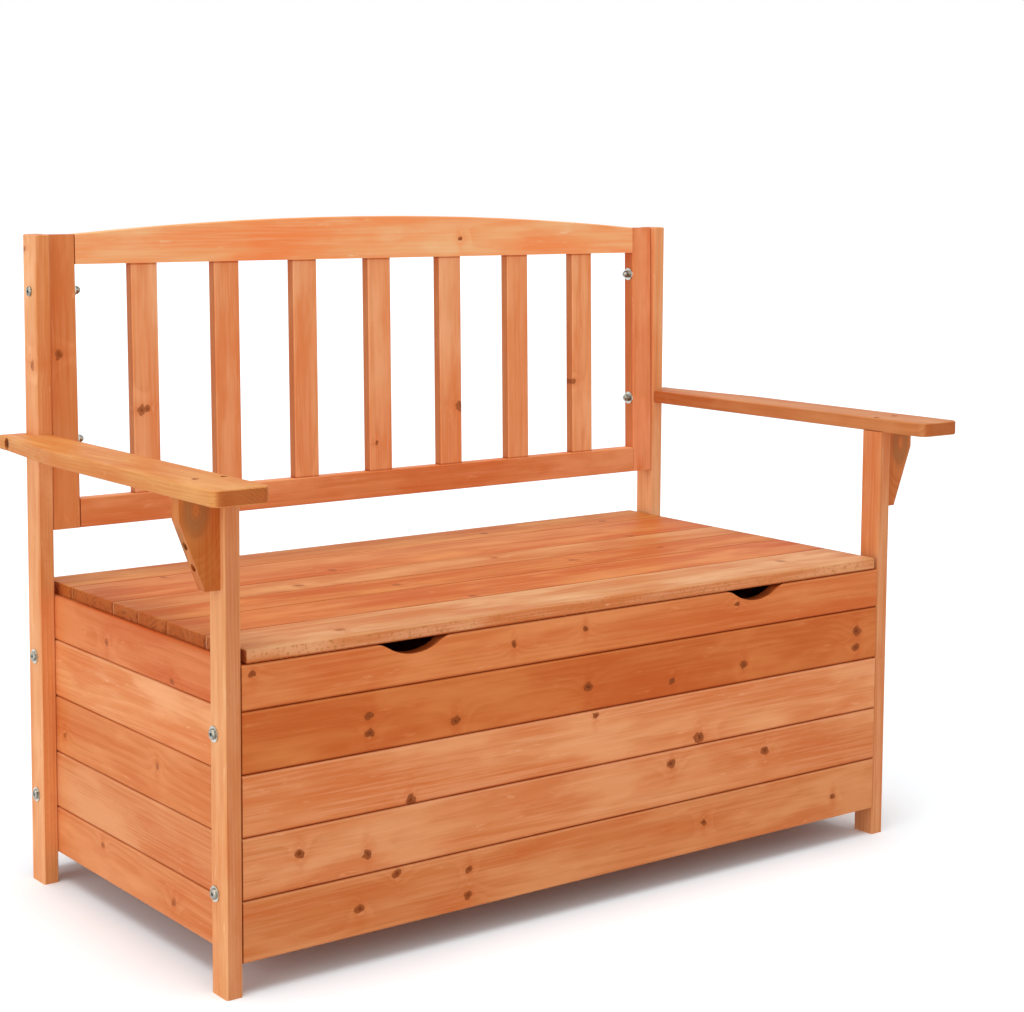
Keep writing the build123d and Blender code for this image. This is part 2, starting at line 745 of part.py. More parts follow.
with BuildPart() as bottom_rail:
    with BuildSketch(back_plane):
        with Locations((0, bottom_rail_height / 2)):
            Rectangle(2 * rail_half, bottom_rail_height)
    extrude(amount=-back_thickness)
    chamfer(bottom_rail.edges().filter_by(Axis.X), back_ease)
    add(bottom_mortises, mode=Mode.SUBTRACT)
    add(bottom_dowel_holes, mode=Mode.SUBTRACT)
save(bottom_rail, "back_bottom_rail")

# Slats, with their ends let into the rails
slat_low = bottom_rail_height - slat_tenon
slat_high = top_rail_low + slat_tenon
with BuildPart() as slats:
    with BuildSketch(back_plane.offset(-(back_thickness - slat_thickness) / 2)):
        with Locations((0, (slat_low + slat_high) / 2)):
            with GridLocations(slat_pitch, 0, slat_count, 1):
                Rectangle(slat_width, slat_high - slat_low)
    extrude(amount=-slat_thickness)
    chamfer(slats.edges().filter_by(Axis((0, 0, 0), back_plane.y_dir)), back_ease)
save(slats, "back_slats")

# Dowels between the rails and the stiles
with BuildPart() as dowels:
    for side in (-1, 1):
        for along in bottom_dowels + top_dowels:
            middle = (stile_inner + rail_half) / 2
            seat = back_plane.from_local_coords((side * middle, along, dowel_depth))
            with Locations(Plane(origin=seat, x_dir=(0, 1, 0), z_dir=(side, 0, 0))):
                Cylinder(dowel_radius, dowel_length - rail_end_gap)
save(dowels, "back_dowels")

# Armrests, notched round the rear legs
arm_front_y = front_y - arm_overhang
arm_stop_y = rear_leg_y - wall_gap
arm_inner = leg_half - arm_inset
arm_outer = leg_half + arm_reach
arm_tail = leg_half + arm_tail_reach
arm_notch = leg_half + wall_gap
tail_start_y = rear_leg_back_y - arm_tail_flat
for side, hand in ((-1, "left"), (1, "right")):
    with BuildPart() as armrest:
        with BuildSketch(Plane.XY.offset(arm_underside)):
            with BuildLine():
                Polyline(
                    (side * arm_inner, arm_front_y),
                    (side * arm_outer, arm_front_y),
                    (side * arm_outer, tail_start_y - arm_taper),
                    (side * arm_tail, tail_start_y),
                    (side * arm_tail, rear_leg_back_y),
                    (side * arm_notch, rear_leg_back_y),
                    (side * arm_notch, arm_stop_y),
                    (side * arm_inner, arm_stop_y),
                    close=True,
                )
            make_face()
        extrude(amount=arm_thickness)
        fillet(armrest.edges().filter_by(Axis.Z).group_by(Axis.Y)[0], arm_corner)
        chamfer(armrest.faces().sort_by(Axis.Z)[-1].edges(), arm_ease)
        chamfer(armrest.faces().sort_by(Axis.Z)[0].edges(), arm_ease)
        with Locations(*[(side * x, arm_screw_y, arm_top) for x in (leg_screw_x, bracket_screw_x)]):
            CounterBoreHole(screw_hole, screw_bore_radius, screw_bore_depth)
        with Locations(across(side, arm_tail, arm_bolt_place.Y, arm_bolt_place.Z)):
            CounterBoreHole(bolt_hole, bolt_bore_radius, bolt_bore_depth)
    save(armrest, f"armrest_{hand}")

# Arm brackets on the front legs
bracket_slope = (bracket_reach - bracket_foot) / (bracket_height - bracket_lip)


def bracket_edge(drop):
    # Reach of the sloped edge at a distance below the armrest
    return min(bracket_reach, bracket_reach - (drop - bracket_lip) * bracket_slope)


for side, hand in ((-1, "left"), (1, "right")):
    with BuildPart() as bracket:
        with BuildSketch(Plane.XZ.offset(-bracket_y)):
            with BuildLine():
                Polyline(
                    (side * leg_half, arm_underside),
                    (side * (leg_half + bracket_reach), arm_underside),
                    (side * (leg_half + bracket_reach), arm_underside - bracket_lip),
                    (side * (leg_half + bracket_foot), arm_underside - bracket_height),
                    (side * leg_half, arm_underside - bracket_height),
                    close=True,
                )
            make_face()
        extrude(amount=-bracket_thickness)
        for drop in bracket_screw_drops:
            mouth = bracket_edge(drop - screw_bore_radius)
            bore = mouth - bracket_edge(drop) + bracket_bore_depth
            with Locations(across(side, leg_half + mouth, arm_screw_y, arm_underside - drop)):
                CounterBoreHole(screw_hole, screw_bore_radius, bore)
        with Locations((side * bracket_screw_x, arm_screw_y, arm_underside)):
            Hole(screw_hole, depth=screw_bite + screw_play)
    save(bracket, f"arm_bracket_{hand}")


def socket_bolt(length):
    # Head above the seat plane, shank below it
    with BuildPart() as bolt:
        Cylinder(bolt_head_radius, bolt_head_height, align=(Align.CENTER, Align.CENTER, Align.MIN))
        fillet(bolt.edges().group_by(Axis.Z)[-1], bolt_head_height / 2)
        with BuildSketch(Plane.XY.offset(bolt_head_height)):
            RegularPolygon(bolt_socket_radius, 6)
        extrude(amount=-bolt_socket_depth, mode=Mode.SUBTRACT)
        Cylinder(bolt_radius, length, align=(Align.CENTER, Align.CENTER, Align.MAX))
    return bolt.part


def pan_screw(radius, head_radius, head_height, length):
    # Head above the seat plane, shank below it
    with BuildPart() as screw:
        Cylinder(head_radius, head_height, align=(Align.CENTER, Align.CENTER, Align.MIN))
        chamfer(screw.edges().group_by(Axis.Z)[-1], head_height / 3)
        Cylinder(radius, length, align=(Align.CENTER, Align.CENTER, Align.MAX))
    return screw.part


# Bolts: four through each side of the box, two through each end of the backrest
bolt_tip = washer_thickness + nut_engagement
leg_seat = leg_half + washer_thickness
leg_bolt = socket_bolt(leg_seat - batten_half + bolt_tip)
back_bolt = socket_bolt(leg_half - stile_inner + bolt_tip)
arm_seat = arm_tail - bolt_bore_depth
arm_bolt = socket_bolt(arm_seat - stile_inner + bolt_tip)
with BuildPart() as bolts:
    for side in (-1, 1):
        with Locations(*[across(side, leg_seat, y, z) for y, z in leg_bolt_places]):
            add(leg_bolt)
        with Locations(across(side, leg_half, back_bolt_place.Y, back_bolt_place.Z)):
            add(back_bolt)
        with Locations(across(side, arm_seat, arm_bolt_place.Y, arm_bolt_place.Z)):
            add(arm_bolt)
save(bolts, "bolts")

# Washers under the leg bolts' heads and under every nut
with BuildPart() as washer:
    Cylinder(washer_radius, washer_thickness, align=(Align.CENTER, Align.CENTER, Align.MIN))
    Hole(bolt_hole)

nut_seats = []
for side in (-1, 1):
    nut_seats += [facing_in(side, batten_half, y, z) for y, z in leg_bolt_places]
    nut_seats += [facing_in(side, stile_inner, p.Y, p.Z) for p in (arm_bolt_place, back_bolt_place)]
with BuildPart() as washers:
    for side in (-1, 1):
        with Locations(*[across(side, leg_half, y, z) for y, z in leg_bolt_places]):
            add(washer.part)
    with Locations(*nut_seats):
        add(washer.part)
save(washers, "washers")

# Cap nuts on the inner ends of the bolts
with BuildPart() as cap_nut:
    with BuildSketch():
        RegularPolygon(nut_across / 2, 6, major_radius=False)
    extrude(amount=nut_height)
    with Locations((0, 0, nut_height)):
        Cylinder(nut_across * 0.45, nut_dome_height, align=(Align.CENTER, Align.CENTER, Align.MIN))
    fillet(cap_nut.edges().group_by(Axis.Z)[-1], nut_dome_height * 0.9)
    Cylinder(
        bolt_radius + thread_play,
        nut_engagement + thread_play,
        align=(Align.CENTER, Align.CENTER, Align.MIN),
        mode=Mode.SUBTRACT,
    )

with BuildPart() as cap_nuts:
    with Locations(*[seat.offset(washer_thickness) for seat in nut_seats]):
        add(cap_nut.part)
save(cap_nuts, "cap_nuts")

# Screws down through the armrests and across through the brackets
arm_screw_length = arm_thickness - screw_bore_depth + screw_bite
arm_screw = pan_screw(screw_radius, screw_head_radius, screw_head_height, arm_screw_length)
with BuildPart() as arm_screws:
    for side in (-1, 1):
        for x in (leg_screw_x, bracket_screw_x):
            with Locations((side * x, arm_screw_y, arm_top - screw_bore_depth)):
                add(arm_screw)
save(arm_screws, "arm_screws")

bracket_screws_in = [bracket_edge(drop) - bracket_bore_depth for drop in bracket_screw_drops]
bracket_screw_bite = leg_width - 2 * leg_ease
bracket_screw_set = [
    pan_screw(screw_radius, screw_head_radius, screw_head_height, reach + bracket_screw_bite)
    for reach in bracket_screws_in
]
with BuildPart() as bracket_screws:
    for side in (-1, 1):
        for drop, reach, screw in zip(bracket_screw_drops, bracket_screws_in, bracket_screw_set):
            with Locations(across(side, leg_half + reach, arm_screw_y, arm_underside - drop)):
                add(screw)
save(bracket_screws, "bracket_screws")

# Small screws of the hinges, the lid battens and the stays
small_head = (small_screw_radius, small_head_radius, small_head_height)
leaf_screw = pan_screw(*small_head, leaf_thickness + small_screw_bite)
batten_screw = pan_screw(*small_head, lid_batten_thickness - 2 * small_head_height + small_screw_bite)
stay_screw = pan_screw(*small_head, stay_plate + small_screw_bite)

with BuildPart() as hinge_screws:
    for hinge_x in hinge_places:
        for step in (-hinge_screw_offset, hinge_screw_offset):
            place = (hinge_x + step, rail_front_y - leaf_thickness, hinge_z - hinge_screw_drop)
            with Locations(Plane(origin=place, z_dir=(0, -1, 0))):
                add(leaf_screw)
save(hinge_screws, "hinge_screws")

with BuildPart() as lid_screws:
    batten_seat = lid_batten_low + 2 * small_head_height
    with Locations(*[Plane(origin=(x, y, batten_seat), z_dir=(0, 0, -1)) for x, y in lid_screw_places]):
        add(batten_screw)
    leaf_seat = lid_underside - leaf_thickness
    with Locations(*[Plane(origin=(x, y, leaf_seat), z_dir=(0, 0, -1)) for x, y in lid_leaf_screws]):
        add(leaf_screw)
    flange_seat = lid_underside - stay_plate
    with Locations(*[Plane(origin=(x, y, flange_seat), z_dir=(0, 0, -1)) for x, y in lid_stay_screws]):
        add(stay_screw)
save(lid_screws, "lid_screws")

with BuildPart() as stay_screws:
    for side in (-1, 1):
        for step in (-stay_screw_offset, stay_screw_offset):
            with Locations(facing_in(side, panel_half - stay_plate, wall_pin_y + step, wall_pin_z)):
                add(stay_screw)
save(stay_screws, "stay_screws")
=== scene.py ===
import math
import random

import bpy
from mathutils import Matrix, Vector


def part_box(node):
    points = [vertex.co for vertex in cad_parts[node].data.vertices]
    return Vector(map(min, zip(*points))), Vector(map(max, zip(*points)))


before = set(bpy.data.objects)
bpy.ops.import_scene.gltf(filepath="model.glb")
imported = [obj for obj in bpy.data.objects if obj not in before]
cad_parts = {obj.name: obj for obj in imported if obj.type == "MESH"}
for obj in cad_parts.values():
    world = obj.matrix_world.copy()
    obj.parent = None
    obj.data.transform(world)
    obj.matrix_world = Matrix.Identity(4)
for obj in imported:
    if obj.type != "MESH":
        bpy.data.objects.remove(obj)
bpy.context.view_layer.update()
bpy.ops.object.select_all(action="DESELECT")
scene = bpy.context.scene
scene.view_settings.view_transform = "Standard"
print("frame loaded:", len(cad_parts), "nodes")


class Wire:
    # one socket of a shader tree, with arithmetic
    def __init__(self, tree, socket=None):
        self.tree = tree
        self.socket = socket

    def node(self, kind, settings=None, sockets=None, output=0):
        made = self.tree.nodes.new(kind)
        for name, value in (settings or {}).items():
            setattr(made, name, value)
        for name, value in (sockets or {}).items():
            self.feed(made.inputs[name], value)
        return Wire(self.tree, made.outputs[output] if made.outputs else None)

    def feed(self, target, value):
        if isinstance(value, Wire):
            self.tree.links.new(value.socket, target)
        else:
            target.default_value = value

    def output(self, name):
        return Wire(self.tree, self.socket.node.outputs[name])

    def math(self, operation, *others):
        sockets = dict(enumerate((self, *others)))
        return self.node("ShaderNodeMath", {"operation": operation}, sockets)

    def __add__(self, other):
        return self.math("ADD", other)

    __radd__ = __add__

    def __sub__(self, other):
        return self.math("SUBTRACT", other)

    def __rsub__(self, other):
        return self.node("ShaderNodeMath", {"operation": "SUBTRACT"}, {0: other, 1: self})

    def __mul__(self, other):
        return self.math("MULTIPLY", other)

    __rmul__ = __mul__

    def __truediv__(self, other):
        return self.math("DIVIDE", other)

    def __abs__(self):
        return self.math("ABSOLUTE")


def ease(value, span):
    # 0 at the start of the span, 1 at its end, rounded between; the start may be the greater
    start, end = span
    settings = {"interpolation_type": "SMOOTHSTEP", "clamp": True}
    return value.node("ShaderNodeMapRange", settings, {"Value": value, "From Min": start, "From Max": end})


def vectorOf(x, y, z):
    wires = [value for value in (x, y, z) if isinstance(value, Wire)]
    return wires[0].node("ShaderNodeCombineXYZ", None, {"X": x, "Y": y, "Z": z})


def distanceTo(vector, point):
    return vector.node("ShaderNodeVectorMath", {"operation": "DISTANCE"}, {0: vector, 1: point}, "Value")


def noise(vector, scale=1.0, detail=2.0, roughness=0.5):
    sockets = {"Vector": vector, "Scale": scale, "Detail": detail, "Roughness": roughness}
    return vector.node("ShaderNodeTexNoise", {"noise_dimensions": "3D"}, sockets, "Fac")


mixSockets = {"fac": 0, "first": 6, "second": 7, "result": 2}   # of a Mix node set to colours


def mixColour(fac, first, second, blend="MIX"):
    settings = {"data_type": "RGBA", "blend_type": blend, "clamp_factor": True}
    sockets = {mixSockets["fac"]: fac}
    for key, value in (("first", first), ("second", second)):
        sockets[mixSockets[key]] = value if isinstance(value, Wire) else (*value, 1.0)
    return fac.node("ShaderNodeMix", settings, sockets, mixSockets["result"])


def shade(mask, colour, darker, share=1.0):
    # multiplies by the darker tone where the mask is
    return mixColour(mask * share, colour, mixColour(mask, colour, darker, "MULTIPLY"))


def newMaterial(name):
    material = bpy.data.materials.new(name)
    material.use_nodes = True
    material.node_tree.nodes.clear()
    return material, Wire(material.node_tree)


def closeMaterial(wire, shader):
    wire.node("ShaderNodeOutputMaterial", None, {"Surface": shader})


def dress(nodeName, material):
    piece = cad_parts[nodeName]
    piece.data.materials.clear()
    piece.data.materials.append(material)


# stained softwood: growth rings round a wandering pith, streaks, knots and end grain
stain = {
    "early": (0.80, 0.315, 0.108),       # pale wood between the rings
    "late": (0.63, 0.190, 0.042),        # the hard line of each ring
    "soaked": (0.69, 0.185, 0.044),      # streaks where the stain went deep
    "paler": (0.88, 0.40, 0.160),        # stretches that took less stain
    "bleachedAndHighlight": (0.90, 0.46, 0.215),     # raised fibres that took less still; also the painted highlight beside seams
    "knot": (0.32, 0.066, 0.008),
    "knotHeart": (0.120, 0.020, 0.002),
    "endTone": (0.47, 0.108, 0.022),     # end grain drinks more stain
    "endRing": (0.20, 0.044, 0.008),
    "paintedShade": (0.56, 0.26, 0.09),      # painted shade in the seams, at slat joints and under overhanging edges
    "heartwood": (0.32, 0.135, 0.045),   # grey brown round the pith
}

# what a board has unless its own look says otherwise
plainBoard = {
    "ringWidth": 0.0046,
    "figure": 1.0,      # how strongly the rings show
    "swing": 0.05,      # how far the pith wanders
    "streak": 0.60,     # shares of the stain layers
    "lines": 0.16,
    "clouds": 0.55,
    "drift": 0.75,
    "bleach": 0.245,
    "patch": 0.30,
    "scuff": 0.55,
    "knots": (),        # place along the grain, place across it, size
    "knotDepth": 1.0,
    "endGrain": 0.75,
    "endRings": 1.0,
    "seam": 0.85,
    "sawn": 0.20,
    "sheen": 0.10,
}

# rate of each pattern along the grain and across it, then its detail and roughness
patterns = {
    "wander": (6.0, 30.0, 2.0, 0.50),
    "bands": (2.2, 34.0, 3.0, 0.50),
    "lines": (9.0, 380.0, 2.0, 0.60),
    "cloud": (5.0, 26.0, 3.0, 0.55),
    "drift": (5.5, 19.0, 3.0, 0.55),
    "scuff": (38.0, 170.0, 2.0, 0.60),
    "patch": (9.0, 52.0, 3.0, 0.60),
    "sawn": (260.0, 220.0, 3.0, 0.65),
}

# stain layers from the bottom up: pattern, where it starts and is full, share, tone
stainLayers = (
    ("bands", (0.42, 0.64), "streak", "soaked"),
    ("lines", (0.42, 0.20), "lines", "late"),
    ("cloud", (0.50, 0.28), "clouds", "soaked"),
    ("drift", (0.50, 0.70), "drift", "paler"),
    ("drift", (0.48, 0.30), "drift", "soaked"),
    ("fibre", (0.66, 0.98), "bleach", "bleachedAndHighlight"),
    ("patch", (0.60, 0.80), "patch", "bleachedAndHighlight"),
)
scuffSpans = {"scuff": (0.60, 0.72), "patch": (0.46, 0.66)}   # short scratches inside the pale patches

rings = {
    "seedStep": 0.731,            # shifts the patterns from board to board
    "cellStep": 1.37,             # and between the boards of one node
    "pithWidth": (-0.5, 0.5),     # range of the pith's place, in board widths
    "pithDepth": (0.02, 0.06),    # and of its depth behind the face
    "spread": (0.8, 1.25),        # range of the ring width
    "sway": (0.9, 3.1),           # rate along the board and row of the noise
    "dive": (1.3, 8.7),
    "crowd": (60.0, 1.7),
    "crowding": 2.2,
    "wander": 0.004,
    "swell": (0.1, 0.85),         # a ring darkens slowly and ends at once
    "stop": (1.0, 0.86),
    "strength": 0.55,
    "clouded": 1.3,
    "fibreCloud": 0.5,            # raised fibres follow the clouds
    "heartIn": (0.001, 0.008),    # band of heartwood round the pith
    "heartOut": (0.021, 0.010),
    "heartShare": 0.6,
    "cellShare": 0.4,
}

# knots in units of their own size, with a smear across the grain
knotShape = {
    "stretch": 0.85,              # a little longer along the grain
    "warpRate": 100.0,
    "warpRows": (2.3, 7.9),
    "warp": 0.007,
    "tailStretch": 0.36,
    "tailDrop": 0.15,
    "raggedRates": (110.0, 190.0, 60.0),
    "ragged": 0.9,
    "raggedTail": 1.1,
    "bend": 0.007,                # rings bend round a knot
    "bendFade": -0.10,
    "halo": (2.2, 0.2),
    "haloShare": 0.45,
    "torn": (0.02, 0.22),         # torn fibres in the halo
    "tornShare": 0.45,
    "core": (1.02, 0.60),
    "coreShare": 0.82,
    "heart": (0.65, 0.05),
    "heartShare": 0.72,
    "rimIn": (0.52, 0.74),        # dark broken rim
    "rimOut": (1.02, 0.80),
    "rimGaps": (-0.30, 0.15),
    "rimShare": 0.62,
}

# end grain, painted shade in seams and joints, a painted highlight beside seams, and narrow faces
cuts = {
    "endFace": (0.60, 0.97),      # how squarely a face looks along the grain
    "pores": (420.0, 2.0, 0.6),   # scale, detail and roughness
    "poreSpan": (0.45, 0.75),
    "poreShare": 0.30,
    "blotch": (75.0, 2.0, 0.5),
    "blotchSpan": (0.35, 0.65),
    "endRingShare": 0.7,
    "seamLow": (0.0056, 0.0006),  # painted seam shade, in metres from the lower or front edge of a board
    "seamHigh": (0.0014, 0.0002),
    "litIn": (0.0008, 0.0016),    # painted highlight on the arris beside the seam
    "litOut": (0.0040, 0.0022),
    "litShare": 0.45,
    "joint": (0.0034, 0.0008),
    "jointShare": 0.8,
    "sideFace": (0.75, 0.95),
    "foot": (0.0030, 0.0006),
    "footShare": 0.9,
    "sawn": (0.50, 0.72),
}

woodFinish = {
    "roughness": 0.40,
    "bandRoughness": 0.14,
    "ringRoughness": 0.06,
    "endRoughness": 0.15,
    "ringRelief": 0.4,
    "lineRelief": 0.6,
    "bumpStrength": 0.16,
    "bumpDistance": 0.0006,
}


def knotDistances(knots, along, width, slide, localWidth):
    # how far the nearest knot and the nearest smear are, in knot sizes
    rate = knotShape["warpRate"]
    warpAlong, warpWidth = (
        (noise(vectorOf(slide * rate, localWidth * rate, row), 1.0, 1.0) - 0.5) * knotShape["warp"]
        for row in knotShape["warpRows"]
    )
    spot = vectorOf(along * knotShape["stretch"] + warpAlong, width + warpWidth, 0.0)
    tail = vectorOf(along, width * knotShape["tailStretch"], 0.0)
    nearest = None
    smear = None
    for knotAlong, knotWidth, knotSize in knots:
        centre = (knotAlong * knotShape["stretch"], knotWidth, 0.0)
        tailCentre = (knotAlong + knotShape["tailDrop"] * knotSize, knotWidth * knotShape["tailStretch"], 0.0)
        apart = distanceTo(spot, centre) / knotSize
        drawn = distanceTo(tail, tailCentre) / knotSize
        nearest = apart if nearest is None else nearest.math("MINIMUM", apart)
        smear = drawn if smear is None else smear.math("MINIMUM", drawn)
    return nearest, smear


def stainedWood(name, look):
    draw = random.Random(look["seed"])
    material, wire = newMaterial(name)
    place = wire.node("ShaderNodeTexCoord", None, None, "Object")
    parts = place.node("ShaderNodeSeparateXYZ", None, {0: place})
    axes = {axis: parts.output(axis.upper()) for axis in "xyz"}
    along, width, depth = (axes[axis] for axis in look["grain"])
    middleWidth, middleDepth = look["middle"]
    shift = look["seed"] * rings["seedStep"]
    slide = along + shift
    localWidth = width - middleWidth
    cell = look.get("cell")
    if cell:   # several boards in one node, told apart by their pitch
        index = ((axes[cell["axis"]] - cell["start"]) / cell["pitch"]).math("ROUND")
        slide = slide + index * rings["cellStep"]
        if cell["axis"] == look["grain"][1]:
            localWidth = width - index * cell["pitch"] - cell["start"]

    def tone(key):
        return tuple(min(1.0, value * share) for value, share in zip(stain[key], look["tint"]))

    def pattern(key):
        alongRate, acrossRate, detail, roughness = patterns[key]
        stretched = vectorOf(slide * alongRate, localWidth * acrossRate, depth * acrossRate)
        return noise(stretched, 1.0, detail, roughness)

    def lineNoise(key, position):
        rate, row = rings[key]
        return noise(vectorOf(position * rate, row + shift, 0.0), 1.0, 1.0)

    # the pith runs behind the face and wanders along the board
    pithWidth = look.get("pithWidth", draw.uniform(*rings["pithWidth"]) * look["width"])
    pithDepth = draw.uniform(*rings["pithDepth"])
    ringWidth = look["ringWidth"] * draw.uniform(*rings["spread"])
    sway = (lineNoise("sway", slide) - 0.5) * look["swing"]
    dive = (lineNoise("dive", slide) - 0.5) * look["swing"]
    acrossPith = localWidth - pithWidth - sway
    intoPith = depth - middleDepth - look["away"] * pithDepth - dive
    if "oval" in look:   # a face that just grazes the rings shows them as ovals
        ovalHeight, ovalStretch = look["oval"]
        intoPith = (along - ovalHeight) * ovalStretch + (depth - middleDepth)
    radius = (acrossPith * acrossPith + intoPith * intoPith).math("SQRT")
    radius = radius + (pattern("wander") - 0.5) * rings["wander"]

    if look["knots"]:
        alongRate, widthRate, depthRate = knotShape["raggedRates"]
        ragged = noise(vectorOf(slide * alongRate, localWidth * widthRate, depth * depthRate)) - 0.5
        nearest, smear = knotDistances(look["knots"], along, width, slide, localWidth)
        nearest = nearest + ragged * knotShape["ragged"]
        smear = smear + ragged * knotShape["raggedTail"]
        radius = radius + (nearest * nearest * knotShape["bendFade"]).math("EXPONENT") * knotShape["bend"]

    ring = (radius / ringWidth + lineNoise("crowd", radius) * rings["crowding"]).math("FRACT")
    late = ease(ring, rings["swell"]) * ease(ring, rings["stop"])
    fields = {key: pattern(key) for key in ("bands", "lines", "cloud", "drift", "scuff", "patch")}
    fields["fibre"] = fields["lines"] + fields["cloud"] * rings["fibreCloud"]

    # stain, laid in layers over the rings
    ringFac = late * (fields["cloud"] * rings["clouded"]) * (rings["strength"] * look["figure"])
    colour = mixColour(ringFac, tone("early"), tone("late"))
    for key, span, share, toneName in stainLayers:
        colour = mixColour(ease(fields[key], span) * look[share], colour, tone(toneName))
    scuffFac = ease(fields["scuff"], scuffSpans["scuff"]) * ease(fields["patch"], scuffSpans["patch"])
    colour = mixColour(scuffFac * look["scuff"], colour, tone("bleachedAndHighlight"))
    if "oval" in look:
        heartFac = ease(radius, rings["heartIn"]) * ease(radius, rings["heartOut"])
        colour = mixColour(heartFac * rings["heartShare"], colour, stain["heartwood"])
    if cell:
        cellNoise = {"noise_dimensions": "1D"}
        cellTone = index.node("ShaderNodeTexWhiteNoise", cellNoise, {"W": index + shift}, "Value")
        cellFac = ease(cellTone, (0.0, 1.0)) * cell.get("spread", rings["cellShare"])
        colour = mixColour(cellFac, colour, tone("soaked"))
    if look["knots"]:
        halo = ease(smear, knotShape["halo"])
        torn = halo * ease(ragged, knotShape["torn"])
        core = ease(nearest, knotShape["core"]) * look["knotDepth"]
        heart = ease(nearest, knotShape["heart"]) * look["knotDepth"]
        rim = ease(nearest, knotShape["rimIn"]) * ease(nearest, knotShape["rimOut"])
        rim = rim * ease(ragged, knotShape["rimGaps"]) * look["knotDepth"]
        dark = (heart * knotShape["heartShare"]).math("MAXIMUM", rim * knotShape["rimShare"])
        colour = mixColour(halo * knotShape["haloShare"], colour, tone("soaked"))
        colour = mixColour(torn * knotShape["tornShare"], colour, tone("bleachedAndHighlight"))
        colour = mixColour(core * knotShape["coreShare"], colour, stain["knot"])
        colour = mixColour(dark, colour, stain["knotHeart"])

    # end grain, from the way a face looks
    facing = wire.node("ShaderNodeTexCoord", None, None, "Normal")
    facing = facing.node("ShaderNodeSeparateXYZ", None, {0: facing})
    endFace = ease(abs(facing.output(look["grain"][0].upper())), cuts["endFace"])
    blotch = ease(noise(place, *cuts["blotch"]), cuts["blotchSpan"])
    pores = ease(noise(place, *cuts["pores"]), cuts["poreSpan"])
    endRings = late * blotch * (cuts["endRingShare"] * look["endRings"])
    endTone = mixColour(endRings, stain["endTone"], stain["endRing"])
    endTone = mixColour(pores * cuts["poreShare"], endTone, stain["endRing"])
    colour = mixColour(endFace * look["endGrain"], colour, endTone)

    if "edges" in look:   # the board's two long edges: painted shade in the seams, a painted highlight on the upper arris
        lowEdge, highEdge = look["edges"]
        fromHigh = highEdge - width
        seam = ease(width - lowEdge, cuts["seamLow"]).math("MAXIMUM", ease(fromHigh, cuts["seamHigh"]))
        colour = shade(seam * look["seam"], colour, stain["paintedShade"])
        # painted highlight on the board's upper arris
        lit = ease(fromHigh, cuts["litIn"]) * ease(fromHigh, cuts["litOut"])
        colour = mixColour(lit * cuts["litShare"], colour, tone("bleachedAndHighlight"))
    if "joints" in look:   # painted shade at the two heights where a slat goes into its rails
        lowJoint, highJoint = look["joints"]
        joint = ease(along - lowJoint, cuts["joint"]).math("MAXIMUM", ease(highJoint - along, cuts["joint"]))
        colour = shade(joint * cuts["jointShare"], colour, stain["paintedShade"])
    if "side" in look:   # faces turned along the look's axis take its tone: painted shade on the grip's shoulders, left leg fronts and right stile's inner face; darker slat sides; a redder sawn lid edge
        sideAxis, sideTone = look["side"]
        sideFace = ease(abs(facing.output(sideAxis)), cuts["sideFace"])
        colour = shade(sideFace, colour, sideTone)
        if "under" in look:   # shaded foot of an overhanging edge
            foot = sideFace * ease(depth - look["under"], cuts["foot"])
            colour = shade(foot, colour, stain["paintedShade"], cuts["footShare"])
        sawnFac = sideFace * ease(pattern("sawn"), cuts["sawn"]) * look["sawn"]
        colour = mixColour(sawnFac, colour, tone("late"))

    rough = fields["bands"] * woodFinish["bandRoughness"] + late * woodFinish["ringRoughness"]
    rough = rough + endFace * woodFinish["endRoughness"] + woodFinish["roughness"]
    height = late * woodFinish["ringRelief"] + fields["lines"] * woodFinish["lineRelief"]
    relief = {"Height": height, "Strength": woodFinish["bumpStrength"], "Distance": woodFinish["bumpDistance"]}
    bump = height.node("ShaderNodeBump", None, relief)
    surface = colour.node(
        "ShaderNodeBsdfPrincipled",
        None,
        {"Base Color": colour, "Roughness": rough, "Normal": bump, "Specular IOR Level": look["sheen"]},
    )
    closeMaterial(wire, surface)
    return material


def nodeMiddle(nodeName, axis):
    low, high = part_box(nodeName)
    number = "xyz".index(axis)
    return (low[number] + high[number]) / 2, high[number] - low[number]


def dressBoard(nodeName, look):
    # fills in a board's middle and width from its own box
    grain = look["grain"]
    widthMiddle, widthSize = nodeMiddle(nodeName, grain[1])
    depthMiddle = nodeMiddle(nodeName, grain[2])[0]
    look = {**plainBoard, "middle": (widthMiddle, depthMiddle), "width": widthSize, **look}
    dress(nodeName, stainedWood(nodeName + "_stain", look))


